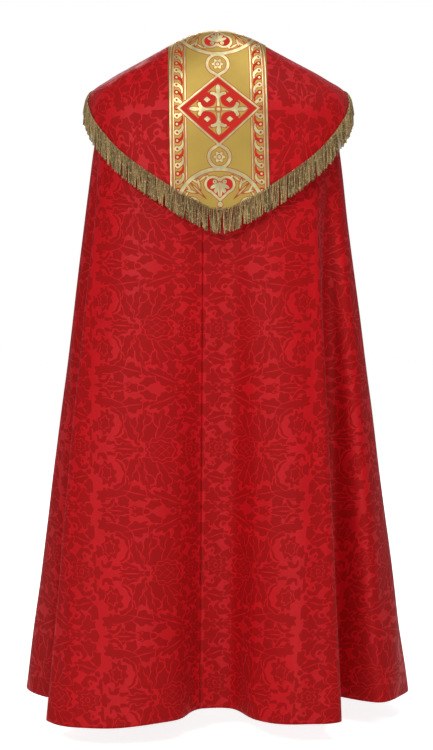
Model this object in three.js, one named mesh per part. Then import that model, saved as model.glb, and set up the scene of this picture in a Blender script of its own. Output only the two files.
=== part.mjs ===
// A cope: a floor-length ceremonial cloak, hanging as it does when worn and closed at the chest.
// It is cut in two halves that meet in a centre back seam. A shield-shaped hood lies over the shoulders,
// with a woven gold orphrey down its middle and a gold fringe along its edge. Two more orphreys run down
// the front edges, a morse (a cloth tab across the chest) closes them, and a band binds the neck.
//
// Millimetres, +Z up. The origin is the middle of the neck, at the level where it meets the shoulders.
// The wearer faces -Y, so the back is at +Y and the wearer's left side is at +X.
// A "turn" is an angle round the neck in degrees: 0 at the centre back, + towards the wearer's left.

import * as THREE from "three";

// ---- sizes -------------------------------------------------------------------------------------------

const CLOTH = 2; // thickness of the damask with its interlining
const TRIM_CLOTH = 1.6; // thickness of the woven orphrey
const SEAM_GAP = 0.3; // between the two halves at the back seam
const GAP = 0.4; // between a piece and the one that it is sewn to or lies on
const HEM_Z = -1450;
const ORPHREY_WIDTH = 212;
const ORPHREY_END_TURN = 84; // a front orphrey ends here on the shoulder, under the hood

// Smooth sections from the neck to the upper arm. Each is a rounded oval: half_width across, back and
// front its depths, z_back, z_side and z_front its heights there, roundness 2 for an ellipse and more
// for a squarer outline.
const copeRings = [
  { name: "neck", half_width: 84, back: 60, front: 66, z_back: 25, z_side: -6, z_front: -48, roundness: 2 },
  { name: "neck_base", half_width: 104, back: 84, front: 88, z_back: 10, z_side: -18, z_front: -60, roundness: 2 },
  { name: "collarbone", half_width: 165, back: 116, front: 118, z_back: -38, z_side: -52, z_front: -92, roundness: 2.05 },
  { name: "shoulder", half_width: 226, back: 140, front: 138, z_back: -104, z_side: -92, z_front: -132, roundness: 2.2 },
  { name: "shoulder_edge", half_width: 256, back: 152, front: 150, z_back: -158, z_side: -132, z_front: -172, roundness: 2.3 },
  { name: "arm", half_width: 268, back: 158, front: 156, z_back: -214, z_side: -190, z_front: -224, roundness: 2.35 },
];

// Below the arm the cloth falls straight. spread is how far a section has opened from the arm's oval
// towards the folds of the hem.
const fallRows = [
  { name: "elbow", spread: 0.17 },
  { name: "hip", spread: 0.41 },
  { name: "knee", spread: 0.705 },
  { name: "hem", spread: 1 },
];

// The crests and dips of the folds, from the wearer's right front edge round the back to the left one.
// turn is where the fold starts on the shoulder, x and y where it reaches the hem.
const foldRows = [
  { name: "right_front_edge", turn: -176, x: -14, y: -338 },
  { name: "right_orphrey_middle", turn: -135, x: -124, y: -330 },
  { name: "right_orphrey_edge", turn: -114, x: -226, y: -302 },
  { name: "right_front_dip", turn: -106, x: -284, y: -204 },
  { name: "right_front_crest", turn: -100, x: -392, y: -182 },
  { name: "right_side_dip", turn: -94, x: -376, y: -66 },
  { name: "right_side_crest", turn: -83, x: -434, y: 52 },
  { name: "right_side_swell", turn: -73, x: -366, y: 160 },
  { name: "right_back_dip", turn: -62, x: -258, y: 122 },
  { name: "right_fold_inside", turn: -55, x: -256, y: 212 },
  { name: "right_fold", turn: -47, x: -258, y: 296 },
  { name: "right_lobe", turn: -31, x: -168, y: 324 },
  { name: "right_lobe_inside", turn: -15, x: -84, y: 286 },
  { name: "back_dip", turn: -5, x: -30, y: 196 },
  { name: "back_seam", turn: 4, x: 34, y: 208 },
  { name: "left_lobe_inside", turn: 15, x: 92, y: 298 },
  { name: "left_lobe", turn: 35, x: 200, y: 336 },
  { name: "left_lobe_outside", turn: 56, x: 310, y: 330 },
  { name: "left_fold", turn: 66, x: 356, y: 284 },
  { name: "left_fold_inside", turn: 70, x: 312, y: 206 },
  { name: "left_back_dip", turn: 73, x: 310, y: 130 },
  { name: "left_side_swell", turn: 80, x: 378, y: 110 },
  { name: "left_side_crest", turn: 88, x: 434, y: 34 },
  { name: "left_side_dip", turn: 95, x: 374, y: -70 },
  { name: "left_front_crest", turn: 101, x: 396, y: -178 },
  { name: "left_front_dip", turn: 107, x: 288, y: -200 },
  { name: "left_orphrey_edge", turn: 114, x: 226, y: -302 },
  { name: "left_orphrey_middle", turn: 135, x: 124, y: -330 },
  { name: "left_front_edge", turn: 176, x: 14, y: -338 },
];

// The hood lies on the cope and stands off it towards the shoulder points.
const hoodRings = [
  { name: "neck", half_width: 90, back: 65, front: 72, z_back: 30, z_side: 1, z_front: -42, roundness: 2 },
  { name: "neck_base", half_width: 113, back: 93, front: 97, z_back: 16, z_side: -9, z_front: -52, roundness: 2 },
  { name: "collarbone", half_width: 176, back: 126, front: 128, z_back: -33, z_side: -41, z_front: -83, roundness: 2.05 },
  { name: "shoulder", half_width: 242, back: 152, front: 151, z_back: -102, z_side: -77, z_front: -120, roundness: 2.2 },
  { name: "shoulder_edge", half_width: 288, back: 168, front: 166, z_back: -168, z_side: -112, z_front: -162, roundness: 2.35 },
  { name: "arm", half_width: 305, back: 177, front: 175, z_back: -236, z_side: -184, z_front: -232, roundness: 2.45 },
  { name: "point", half_width: 314, back: 191, front: 186, z_back: -420, z_side: -390, z_front: -420, roundness: 2.6 },
];

// The hood's edge: how far down its surface it reaches at each turn, as a share of the way from the
// neck to the ring called point. It is the same on both sides.
const hoodEdgeRows = [
  { turn: 0, reach: 0.9 },
  { turn: 7, reach: 0.857 },
  { turn: 21.5, reach: 0.767 },
  { turn: 40.5, reach: 0.673 },
  { turn: 61.5, reach: 0.577 },
  { turn: 77.5, reach: 0.513 },
  { turn: 92, reach: 0.45 },
  { turn: 112, reach: 0.37 },
  { turn: 132, reach: 0.285 },
  { turn: 148, reach: 0.215 },
];
const HOOD_END_TURN = 148;
const HOOD_SWAY = -9; // the hood's point hangs this far to the wearer's right
const FRINGE_DROP = 52;
const FRINGE_THICKNESS = 4;
const FRINGE_STIFF = 22; // the length in which a strand bends from the hood's slope to the vertical

const NECKBAND_DEPTH = 22;
const MORSE_HALF_WIDTH = 76;
const MORSE = { top_z: -182, bottom_z: -262, stand_off: 1.5, thickness: 2.4 };

// ---- curves ------------------------------------------------------------------------------------------

// One span of a spline through p1 and p2, with the tangents m1 and m2 scaled to the span.
function hermite(p1, m1, p2, m2, t) {
  const t2 = t * t;
  const t3 = t2 * t;
  return p1.map(
    (_, k) =>
      (2 * t3 - 3 * t2 + 1) * p1[k] + (t3 - 2 * t2 + t) * m1[k] + (3 * t2 - 2 * t3) * p2[k] + (t3 - t2) * m2[k],
  );
}

// A smooth line through points at the given knots. Its tangents lean towards the nearer neighbour.
function splineAt(points, knots, at) {
  const last = points.length - 1;
  const slope = (i) => points[i].map((p, k) => (points[i + 1][k] - p) / (knots[i + 1] - knots[i]));
  const tangent = (i) => {
    if (i === 0) return slope(0);
    if (i === last) return slope(last - 1);
    const before = knots[i] - knots[i - 1];
    const after = knots[i + 1] - knots[i];
    const a = slope(i - 1);
    const b = slope(i);
    return a.map((_, k) => (a[k] * after + b[k] * before) / (before + after));
  };
  let i = 0;
  while (i < last - 1 && knots[i + 1] <= at) i += 1;
  const span = knots[i + 1] - knots[i];
  const scaled = (m) => m.map((x) => x * span);
  return hermite(points[i], scaled(tangent(i)), points[i + 1], scaled(tangent(i + 1)), (at - knots[i]) / span);
}

// The hem's line, as points [x, y, turn, length from the back seam].
function hemLine() {
  const STEPS = 24; // points between two rows
  const rows = foldRows.map((f) => [f.x, f.y, f.turn]);
  const knots = [0];
  for (let i = 1; i < rows.length; i += 1) {
    const chord = Math.hypot(rows[i][0] - rows[i - 1][0], rows[i][1] - rows[i - 1][1]);
    knots.push(knots[i - 1] + Math.sqrt(chord));
  }
  const line = [];
  for (let i = 0; i < rows.length - 1; i += 1) {
    for (let j = 0; j < STEPS; j += 1) {
      line.push(splineAt(rows, knots, knots[i] + ((knots[i + 1] - knots[i]) * j) / STEPS));
    }
  }
  line.push([...rows[rows.length - 1]]);
  line[0].push(0);
  for (let i = 1; i < line.length; i += 1) {
    line[i].push(line[i - 1][3] + Math.hypot(line[i][0] - line[i - 1][0], line[i][1] - line[i - 1][1]));
  }
  const seam = line[foldRows.findIndex((f) => f.name === "back_seam") * STEPS][3];
  return line.map(([x, y, turn, length]) => [x, y, turn, length - seam]);
}

const hem = hemLine();
const leftHem = hem[hem.length - 1][3];
const rightHem = -hem[0][3];

// The hem at a share w of its half: 0 at the back seam, 1 at the left front edge, -1 at the right one.
function hemAt(w) {
  const length = w >= 0 ? w * leftHem : w * rightHem;
  let i = 0;
  while (i < hem.length - 2 && hem[i + 1][3] < length) i += 1;
  const t = (length - hem[i][3]) / (hem[i + 1][3] - hem[i][3]);
  return hem[i].map((a, k) => a + (hem[i + 1][k] - a) * t);
}

// A point of an oval section at a turn.
function ringPoint(ring, turn) {
  const angle = THREE.MathUtils.degToRad(turn);
  const power = (value) => Math.sign(value) * Math.abs(value) ** (2 / ring.roundness);
  const c = Math.cos(angle);
  const [depth, z] = c > 0 ? [ring.back, ring.z_back] : [ring.front, ring.z_front];
  return [ring.half_width * power(Math.sin(angle)), depth * power(c), ring.z_side + (z - ring.z_side) * c * c];
}

const distance = (a, b) => Math.hypot(a[0] - b[0], a[1] - b[1], a[2] - b[2]);

// ---- surfaces ----------------------------------------------------------------------------------------

// The cope's sections at one share w, from the neck to the hem.
function copeColumn(w) {
  const [x, y, turn] = hemAt(w);
  const smooth = copeRings.map((ring) => ringPoint(ring, turn));
  const arm = smooth[smooth.length - 1];
  const fall = fallRows.map(({ spread }) => [
    arm[0] + (x - arm[0]) * spread,
    arm[1] + (y - arm[1]) * spread,
    arm[2] + (HEM_Z - arm[2]) * spread,
  ]);
  return [...smooth, ...fall];
}

// The mean length of a set of columns, up to each of their points.
function meanLengths(columns) {
  const lengths = [0];
  for (let k = 1; k < columns[0].length; k += 1) {
    const span = columns.reduce((sum, c) => sum + distance(c[k], c[k - 1]), 0) / columns.length;
    lengths.push(lengths[k - 1] + span);
  }
  return lengths;
}

// Those lengths as knots from 0 to 1.
function meanKnots(columns) {
  const lengths = meanLengths(columns);
  return lengths.map((length) => length / lengths[lengths.length - 1]);
}

const sampleShares = Array.from({ length: 101 }, (_, i) => i / 50 - 1);
const copeLengths = meanLengths(sampleShares.map(copeColumn));
const MEAN_LENGTH = copeLengths[copeLengths.length - 1];
const copeKnots = copeLengths.map((length) => length / MEAN_LENGTH);

// The outer face of the cope at a share w round it and v down it, 0 at the neck and 1 at the hem.
const cope = (w, v) => splineAt(copeColumn(w), copeKnots, v);

// The share w at which a front orphrey ends at a row v: its own width from the front edge, and never
// further back than the side of the neck, where the hood covers it.
function orphreyShare(side, v) {
  const STEPS = 150;
  let length = 0;
  let last = cope(side, v);
  for (let i = 1; i < STEPS; i += 1) {
    const w = side * (1 - i / STEPS);
    const next = cope(w, v);
    const span = distance(last, next);
    if (length + span > ORPHREY_WIDTH) return side * (1 - (i - 1 + (ORPHREY_WIDTH - length) / span) / STEPS);
    if (Math.abs(hemAt(w)[2]) < ORPHREY_END_TURN) return w;
    length += span;
    last = next;
  }
  throw new Error("the orphrey is wider than the half it lies on");
}

const hoodKnots = meanKnots([hoodRings.map((ring) => ringPoint(ring, 0))]);

// The outer face of the hood at a turn and a share v down it, 1 at the ring called point.
function hood(turn, v) {
  const [x, y, z] = splineAt(
    hoodRings.map((ring) => ringPoint(ring, turn)),
    hoodKnots,
    v,
  );
  return [x + HOOD_SWAY * v, y, z];
}

// How far the hood reaches at a turn.
function hoodReach(turn) {
  const rows = [{ turn: -hoodEdgeRows[1].turn, reach: hoodEdgeRows[1].reach }, ...hoodEdgeRows];
  return splineAt(
    rows.map((row) => [row.reach]),
    rows.map((row) => row.turn),
    Math.min(Math.abs(turn), HOOD_END_TURN),
  )[0];
}

// The turn at which the hood's orphrey ends. By the neck, which is narrower than it, it is cut away.
function orphreyTurn(v) {
  const CUT = 0.96; // the most of the half width that it covers
  const widths = hoodRings.map((ring) => [ring.half_width, ring.roundness]);
  const [half, roundness] = splineAt(widths, hoodKnots, v);
  const share = Math.min(CUT, ORPHREY_WIDTH / 2 / half);
  return THREE.MathUtils.radToDeg(Math.asin(share ** (roundness / 2)));
}

// The hood by columns: q from -1 to 1 crosses the orphrey, and from 1 to 2 runs on to the hood's front
// end. rho runs from 0 at the neck to 1 at the edge.
function hoodAt(q, rho) {
  const side = Math.sign(q);
  const wide = Math.abs(q);
  let turn = 0;
  let v = 0;
  for (let pass = 0; pass < 40; pass += 1) {
    v = rho * hoodReach(turn);
    const inner = orphreyTurn(v);
    const next = wide <= 1 ? q * inner : side * (inner + (wide - 1) * (HOOD_END_TURN - inner));
    turn = (turn + next) / 2;
  }
  return { turn, v, point: hood(turn, v) };
}

// ---- walls -------------------------------------------------------------------------------------------

// A point of surface(u, v) moved out along its normal.
function moved(surface, u, v, out) {
  const STEP = 1e-3;
  const p = surface(u, v);
  const along = (du, dv) => {
    const a = surface(u - du, v - dv);
    const b = surface(u + du, v + dv);
    return new THREE.Vector3(b[0] - a[0], b[1] - a[1], b[2] - a[2]);
  };
  const normal = along(STEP, 0).cross(along(0, STEP)).normalize();
  return [p[0] + normal.x * out, p[1] + normal.y * out, p[2] + normal.z * out];
}

// A closed wall between two grids of points, each a list of rows.
function wall(outer, inner) {
  const rows = outer.length;
  const columns = outer[0].length;
  const positions = [...outer.flat(), ...inner.flat()].flat();
  const top = (i, j) => i * columns + j;
  const bottom = (i, j) => rows * columns + i * columns + j;
  const index = [];
  const quad = (a, b, c, d) => index.push(a, b, c, a, c, d);
  for (let i = 0; i < rows - 1; i += 1) {
    for (let j = 0; j < columns - 1; j += 1) {
      quad(top(i, j), top(i + 1, j), top(i + 1, j + 1), top(i, j + 1));
      quad(bottom(i, j), bottom(i, j + 1), bottom(i + 1, j + 1), bottom(i + 1, j));
    }
  }
  const rim = [];
  for (let j = 0; j < columns - 1; j += 1) rim.push([0, j]);
  for (let i = 0; i < rows - 1; i += 1) rim.push([i, columns - 1]);
  for (let j = columns - 1; j > 0; j -= 1) rim.push([rows - 1, j]);
  for (let i = rows - 1; i > 0; i -= 1) rim.push([i, 0]);
  rim.forEach(([i, j], k) => {
    const [m, n] = rim[(k + 1) % rim.length];
    quad(top(i, j), top(m, n), bottom(m, n), bottom(i, j));
  });
  return facingOut(positions, index);
}

// A geometry from points and triangles, turned so that it encloses a positive volume.
function facingOut(positions, index) {
  const corner = (i) => new THREE.Vector3().fromArray(positions, 3 * i);
  let volume = 0;
  for (let i = 0; i < index.length; i += 3) {
    const [a, b, c] = index.slice(i, i + 3).map(corner);
    volume += a.dot(b.cross(c));
  }
  if (volume < 0) index.reverse();
  const geometry = new THREE.BufferGeometry();
  geometry.setAttribute("position", new THREE.Float32BufferAttribute(positions, 3));
  geometry.setIndex(index);
  return geometry;
}

const spread = (from, to, steps) => Array.from({ length: steps + 1 }, (_, i) => from + ((to - from) * i) / steps);

// ---- pieces ------------------------------------------------------------------------------------------

const SHOULDER_ROWS = 8;
const FALL_ROWS = 8;
const armKnot = copeKnots[copeRings.length - 1];
const bandKnot = NECKBAND_DEPTH / MEAN_LENGTH;
const copeRows = [0, ...spread(bandKnot, armKnot, SHOULDER_ROWS), ...spread(armKnot, 1, FALL_ROWS).slice(1)];
const ORPHREY_COLUMNS = 6;
const HALF_COLUMNS = 36;

// The share w at which each half begins, so that the two are GAP apart at the back seam.
function seamShare(side, v) {
  const STEP = 1e-3;
  return (side * (SEAM_GAP / 2) * STEP) / distance(cope(0, v), cope(side * STEP, v));
}

// The shares of a half's columns at a row v, from the back seam to the front edge.
function halfShares(side, v) {
  const edge = orphreyShare(side, v);
  return [...spread(seamShare(side, v), edge, HALF_COLUMNS), ...spread(edge, side, ORPHREY_COLUMNS).slice(1)];
}

// One half of the cloak.
function copeHalf(side) {
  const rows = (out) => copeRows.map((v) => halfShares(side, v).map((w) => moved(cope, w, v, out)));
  return wall(rows(0), rows(-CLOTH));
}

// The orphrey laid on the front edge of a half.
function frontOrphrey(side) {
  const rows = (out) =>
    copeRows.map((v) => spread(orphreyShare(side, v), side, ORPHREY_COLUMNS).map((w) => moved(cope, w, v, out)));
  return wall(rows(GAP + TRIM_CLOTH), rows(GAP));
}

const HOOD_ROWS = 9;
const BAND_COLUMNS = 8;
const WING_COLUMNS = 12;

// A point of the hood at column q and row rho, moved out.
function hoodMoved(q, rho, out) {
  const { turn, v } = hoodAt(q, rho);
  return moved((t, s) => hood(t * 100, s), turn / 100, v, out);
}

function hoodPanel() {
  const left = spread(1, 2, WING_COLUMNS).slice(1);
  const columns = [...left.map((q) => -q).reverse(), ...spread(-1, 1, BAND_COLUMNS), ...left];
  const rows = (out) => spread(0, 1, HOOD_ROWS).map((rho) => columns.map((q) => hoodMoved(q, rho, out)));
  return wall(rows(0), rows(-CLOTH));
}

// The orphrey laid down the middle of the hood.
function hoodOrphrey() {
  const columns = spread(-1, 1, BAND_COLUMNS);
  const rows = (out) => spread(0, 1, HOOD_ROWS).map((rho) => columns.map((q) => hoodMoved(q, rho, out)));
  return wall(rows(GAP + TRIM_CLOTH), rows(GAP));
}

// The fringe: its strands leave the hood's edge along the hood's slope and bend down.
function fringe() {
  const DROP_ROWS = 4;
  const outer = [];
  const inner = [];
  const left = spread(1, 2, WING_COLUMNS).slice(1);
  const columns = [...left.map((q) => -q).reverse(), ...spread(-1, 1, BAND_COLUMNS), ...left];
  for (const length of spread(1.5 * GAP, FRINGE_DROP, DROP_ROWS)) {
    const strands = columns.map((q) => fringePoint(q, length));
    outer.push(strands.map(({ point }) => point));
    inner.push(strands.map(({ point, out }) => point.map((x, k) => x - out[k] * FRINGE_THICKNESS)));
  }
  return wall(outer, inner);
}

// A point of a strand at a length from the hood's edge, and the way out from the garment there. At the
// back and sides the strands hang, and on the chest they lie on the cope.
function fringePoint(q, length) {
  const STEP = 0.01;
  const LIFT = 1.5;
  const { turn, v, point } = hoodAt(q, 1);
  const edge = new THREE.Vector3(...point);
  const run = new THREE.Vector3(...hood(turn, v + STEP)).sub(new THREE.Vector3(...hood(turn, v - STEP)));
  const perShare = run.length() / (2 * STEP);
  const out = new THREE.Vector3(...hoodMoved(q, 1, 1)).sub(edge);
  const bend = FRINGE_STIFF * (1 - Math.exp(-length / FRINGE_STIFF));
  const hung = edge
    .clone()
    .addScaledVector(run.normalize(), bend)
    .addScaledVector(new THREE.Vector3(0, 0, -1), length - bend)
    .addScaledVector(out, LIFT);
  const laid = new THREE.Vector3(...hood(turn, v + length / perShare)).addScaledVector(out, LIFT);
  const end = hung.lerp(laid, THREE.MathUtils.smoothstep(Math.abs(turn), 84, 112));
  return { point: end.toArray(), out: out.toArray() };
}

// The band that binds the neck from inside.
function neckband() {
  const rows = (out) =>
    [0, bandKnot].map((v) =>
      [...halfShares(-1, v).reverse(), ...halfShares(1, v)].map((w) => moved(cope, w, v, out)),
    );
  return wall(rows(-CLOTH - 2 * GAP), rows(-CLOTH - 2 * GAP - TRIM_CLOTH));
}

// The share v of the front edge at a height.
function frontShare(z) {
  let low = 0;
  let high = 1;
  for (let pass = 0; pass < 40; pass += 1) {
    const middle = (low + high) / 2;
    if (cope(1, middle)[2] > z) low = middle;
    else high = middle;
  }
  return low;
}

// A point of the front at a distance across from the middle, moved out, with the opening bridged.
function frontPoint(across, v, out) {
  const side = across < 0 ? -1 : 1;
  const edge = moved(cope, side, v, out);
  if (Math.abs(across) < Math.abs(edge[0])) {
    const other = moved(cope, -side, v, out);
    const t = (1 - across / edge[0]) / 2;
    return edge.map((x, k) => x + (other[k] - x) * t);
  }
  let near = side;
  let far = side * 0.5;
  for (let pass = 0; pass < 40; pass += 1) {
    const middle = (near + far) / 2;
    if (Math.abs(moved(cope, middle, v, out)[0]) < Math.abs(across)) near = middle;
    else far = middle;
  }
  return moved(cope, near, v, out);
}

// The cloth tab across the front opening, clear of the orphreys.
function morse() {
  const morseOut = GAP + TRIM_CLOTH + MORSE.stand_off;
  const columns = spread(-MORSE_HALF_WIDTH, MORSE_HALF_WIDTH, 10);
  const shares = spread(MORSE.top_z, MORSE.bottom_z, 4).map(frontShare);
  const grid = (out) => shares.map((v) => columns.map((x) => frontPoint(x, v, out)));
  return wall(grid(morseOut + MORSE.thickness), grid(morseOut));
}

// ---- the part ----------------------------------------------------------------------------------------

const damask = new THREE.MeshStandardMaterial({ color: 0xb5161d, roughness: 0.55, metalness: 0, name: "damask" });
const brocade = new THREE.MeshStandardMaterial({ color: 0xc2a04a, roughness: 0.45, metalness: 0.3, name: "brocade" });
const bullion = new THREE.MeshStandardMaterial({ color: 0x9a7c45, roughness: 0.5, metalness: 0.4, name: "bullion" });

const part = new THREE.Group();

function add(name, geometry, material) {
  const mesh = new THREE.Mesh(geometry, material);
  mesh.name = name;
  part.add(mesh);
}

add("cope_left_half", copeHalf(1), damask);
add("cope_right_half", copeHalf(-1), damask);
add("front_orphrey_left", frontOrphrey(1), brocade);
add("front_orphrey_right", frontOrphrey(-1), brocade);
add("hood", hoodPanel(), damask);
add("hood_orphrey", hoodOrphrey(), brocade);
add("hood_fringe", fringe(), bullion);
add("neckband", neckband(), damask);
add("morse_tab", morse(), brocade);

export default part;
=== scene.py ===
import math
import random

import bmesh
import bpy
import numpy as np
from bpy.props import FloatProperty, FloatVectorProperty, IntProperty, PointerProperty
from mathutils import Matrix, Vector


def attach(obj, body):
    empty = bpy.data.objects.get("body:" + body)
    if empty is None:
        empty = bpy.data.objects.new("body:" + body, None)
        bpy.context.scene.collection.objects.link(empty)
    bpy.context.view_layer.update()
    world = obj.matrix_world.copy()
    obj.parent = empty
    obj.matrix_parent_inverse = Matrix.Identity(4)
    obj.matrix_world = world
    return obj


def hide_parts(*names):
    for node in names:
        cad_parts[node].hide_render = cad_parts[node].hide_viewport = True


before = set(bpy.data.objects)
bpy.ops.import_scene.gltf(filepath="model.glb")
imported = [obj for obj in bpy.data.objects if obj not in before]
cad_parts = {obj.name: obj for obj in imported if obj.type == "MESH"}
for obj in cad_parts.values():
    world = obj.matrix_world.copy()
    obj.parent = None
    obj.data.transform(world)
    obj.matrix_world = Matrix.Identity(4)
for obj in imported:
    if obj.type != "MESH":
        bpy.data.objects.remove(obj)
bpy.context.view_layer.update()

bl_info = {
    "name": "Cope",
    "version": (1, 0, 0),
    "blender": (4, 5, 0),
    "location": "View3D > Sidebar > Cope",
    "description": "Makes a red damask cope with a fringed hood and woven gold orphreys",
    "category": "Object",
}

# The garment's own sizes are in millimetres, as it is cut and sewn. MM turns them into Blender's metres.
# A turn is an angle round the neck in degrees: 0 at the centre back, + towards the wearer's left, who
# faces -Y. The origin is the middle of the neck.
MM = 0.001
PI = math.pi
SQRT_HALF = math.sqrt(0.5)

# ---- the cut -----------------------------------------------------------------------------------------

CLOTH = 2.0  # the frame's own thickness of the cloak and the hood
TRIM_CLOTH = 1.6  # and of the woven bands
GAP = 0.4  # between a cloth and what is sewn on it
HEM_Z = -1450.0
ORPHREY_WIDTH = 212.0
ORPHREY_END_TURN = 84.0  # the front orphreys reach no further back than this
HOOD_END_TURN = 148.0  # where the wings of the hood end
HOOD_SWAY = -9.0  # how far the hood's point hangs to the wearer's right
NECKBAND_DEPTH = 22.0
MORSE_HALF_WIDTH = 76.0
MORSE_TOP_Z = -182.0
MORSE_BOTTOM_Z = -262.0
MORSE_STAND_OFF = 1.5
MORSE_THICKNESS = 2.4
SEAM_GAP = 0.15  # the two halves' own edges, each side of the back seam
SEAM_SINK = 0.3
SEAM_HALF_WIDTH = 3.0

# How finely the pieces are made: faces across, and down where the cloak's own rows aren't used.
HALF_COLUMNS = 228
ORPHREY_COLUMNS = 24
HOOD_BAND_COLUMNS = 60
HOOD_WING_COLUMNS = 70
HOOD_ROWS = 120
NECKBAND_FACES = (240, 8)
MORSE_FACES = (60, 32)

# Rounded ovals from the neck to the upper arm, and on to the point for the hood:
# name, half width, back, front, height at back, side and front, roundness (2 is an ellipse)
COPE_RINGS = (
    ("neck", 84, 60, 66, 18, -6, -48, 2.0),
    ("neck_base", 104, 84, 88, 7, -18, -60, 2.0),
    ("collarbone", 165, 116, 118, -38, -52, -92, 2.05),
    ("shoulder", 226, 140, 138, -104, -92, -132, 2.2),
    ("shoulder_edge", 256, 152, 150, -158, -132, -172, 2.3),
    ("arm", 268, 158, 156, -214, -190, -224, 2.35),
)
HOOD_RINGS = (
    ("neck", 90, 65, 72, 23, 1, -42, 2.0),
    ("neck_base", 113, 93, 97, 13, -9, -52, 2.0),
    ("collarbone", 176, 126, 128, -33, -41, -83, 2.05),
    ("shoulder", 242, 152, 151, -102, -77, -120, 2.2),
    ("shoulder_edge", 288, 168, 166, -168, -112, -162, 2.35),
    ("arm", 305, 177, 175, -236, -184, -232, 2.45),
    ("point", 314, 191, 186, -420, -390, -420, 2.6),
)

# How far each section below the arm has opened towards the folds of the hem.
FALLS = (("elbow", 0.17), ("hip", 0.41), ("knee", 0.705), ("hem", 1.0))

# The crests and dips of the folds: name, turn where the fold starts, x and y where it reaches the hem.
FOLDS = (
    ("right_front_edge", -176, -14, -338),
    ("right_orphrey_middle", -135, -124, -330),
    ("right_orphrey_edge", -114, -226, -302),
    ("right_front_dip", -106, -284, -204),
    ("right_front_crest", -100, -392, -182),
    ("right_side_dip", -94, -376, -66),
    ("right_side_crest", -83, -434, 52),
    ("right_side_swell", -73, -366, 160),
    ("right_back_dip", -62, -258, 122),
    ("right_fold_inside", -55, -256, 212),
    ("right_fold", -47, -258, 296),
    ("right_lobe", -31, -168, 324),
    ("right_lobe_inside", -15, -84, 286),
    ("back_dip", -5, -30, 196),
    ("back_seam", 4, 34, 208),
    ("left_lobe_inside", 15, 92, 298),
    ("left_lobe", 35, 200, 336),
    ("left_lobe_outside", 56, 310, 330),
    ("left_fold", 66, 356, 284),
    ("left_fold_inside", 70, 312, 206),
    ("left_back_dip", 73, 310, 130),
    ("left_side_swell", 80, 378, 110),
    ("left_side_crest", 88, 434, 34),
    ("left_side_dip", 95, 374, -70),
    ("left_front_crest", 101, 396, -178),
    ("left_front_dip", 107, 288, -200),
    ("left_orphrey_edge", 114, 226, -302),
    ("left_orphrey_middle", 135, 124, -330),
    ("left_front_edge", 176, 14, -338),
)

FOLD_NAMES = [name for name, *_ in FOLDS]

# The hood's edge: turn, and how far down its surface it reaches there.
HOOD_EDGE = (
    (-7, 0.857),
    (0, 0.9),
    (7, 0.857),
    (21.5, 0.767),
    (40.5, 0.673),
    (61.5, 0.577),
    (77.5, 0.513),
    (92, 0.45),
    (112, 0.37),
    (132, 0.285),
    (148, 0.215),
)

# Crests and dips that are crisper than the sections make them: fold, half width, height.
FOLD_EDGES = (
    ("left_fold", 13, 5),
    ("left_fold_inside", 18, -8),
    ("left_back_dip", 24, -8),
    ("left_side_swell", 20, 3),
    ("right_fold", 15, 4.5),
    ("right_fold_inside", 22, -9),
    ("right_back_dip", 30, -9),
    ("right_side_swell", 22, 3),
    ("left_lobe_inside", 30, -3),
    ("right_lobe_inside", 30, -2),
)

# Soft creases of the cloak, + for a ridge and - for a trough: name, where it starts and ends as
# (distance round from the back seam, distance down from the neck), half width, height.
CREASES = (
    ("under_hood_left", (70, 380), (40, 900), 26, -2.2),
    ("left_inner_ridge", (130, 420), (150, 1300), 34, 2.6),
    ("left_long_trough", (205, 360), (262, 1460), 30, -3.0),
    ("left_short_ridge", (290, 760), (340, 1460), 26, 2.4),
    ("left_hem_dip", (330, 1150), (352, 1500), 20, -2.6),
    ("left_fold_pull", (330, 300), (420, 820), 18, 1.8),
    ("left_side_ridge", (600, 320), (800, 1460), 30, 3.2),
    ("left_side_trough", (690, 420), (930, 1460), 26, -3.0),
    ("left_arm_trough", (560, 240), (700, 760), 20, -2.6),
    ("left_front_ridge", (820, 520), (1110, 1460), 24, 2.8),
    ("seam_drag_left", (16, 420), (24, 1460), 12, 0.9),
    ("seam_drag_right", (-18, 430), (-30, 1460), 14, 0.9),
    ("under_hood_right", (-80, 390), (-58, 840), 24, -2.0),
    ("right_inner_trough", (-110, 560), (-128, 1460), 28, -2.8),
    ("right_middle_ridge", (-170, 400), (-205, 1300), 30, 2.6),
    ("right_long_trough", (-240, 420), (-300, 1460), 26, -2.8),
    ("right_hem_ridge", (-262, 1050), (-276, 1500), 22, 2.2),
    ("right_fold_pull", (-270, 300), (-330, 760), 18, 1.8),
    ("right_side_ridge", (-560, 340), (-800, 1460), 30, 3.0),
    ("right_side_trough", (-650, 420), (-900, 1460), 26, -3.0),
    ("right_arm_trough", (-520, 250), (-640, 800), 20, -2.6),
    ("right_front_ridge", (-840, 520), (-1120, 1460), 24, 2.6),
)

# The same for the hood, across from its middle and down from the neck.
HOOD_CREASES = (
    ("left_shoulder_swell", (118, 60), (240, 210), 34, 2.6),
    ("left_band_dip", (122, 120), (128, 330), 18, -1.8),
    ("left_lower_drape", (200, 210), (60, 420), 30, 2.0),
    ("right_shoulder_swell", (-120, 50), (-250, 190), 34, 2.6),
    ("right_band_dip", (-124, 130), (-130, 320), 18, -1.8),
    ("right_lower_drape", (-190, 230), (-60, 420), 30, 1.8),
    ("right_tip_fold", (-170, 40), (-330, 150), 22, -2.2),
    ("left_tip_fold", (175, 50), (330, 150), 22, -2.0),
)

# The damask's repeat, along its length and across its width.
DAMASK_ALONG = 256.0
DAMASK_ACROSS = 262.0
DAMASK_LINE = 1.5  # the bare line between figures
CLOAK_FIGURE_SHIFT = -164.0  # where the damask of the cloak starts

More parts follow.
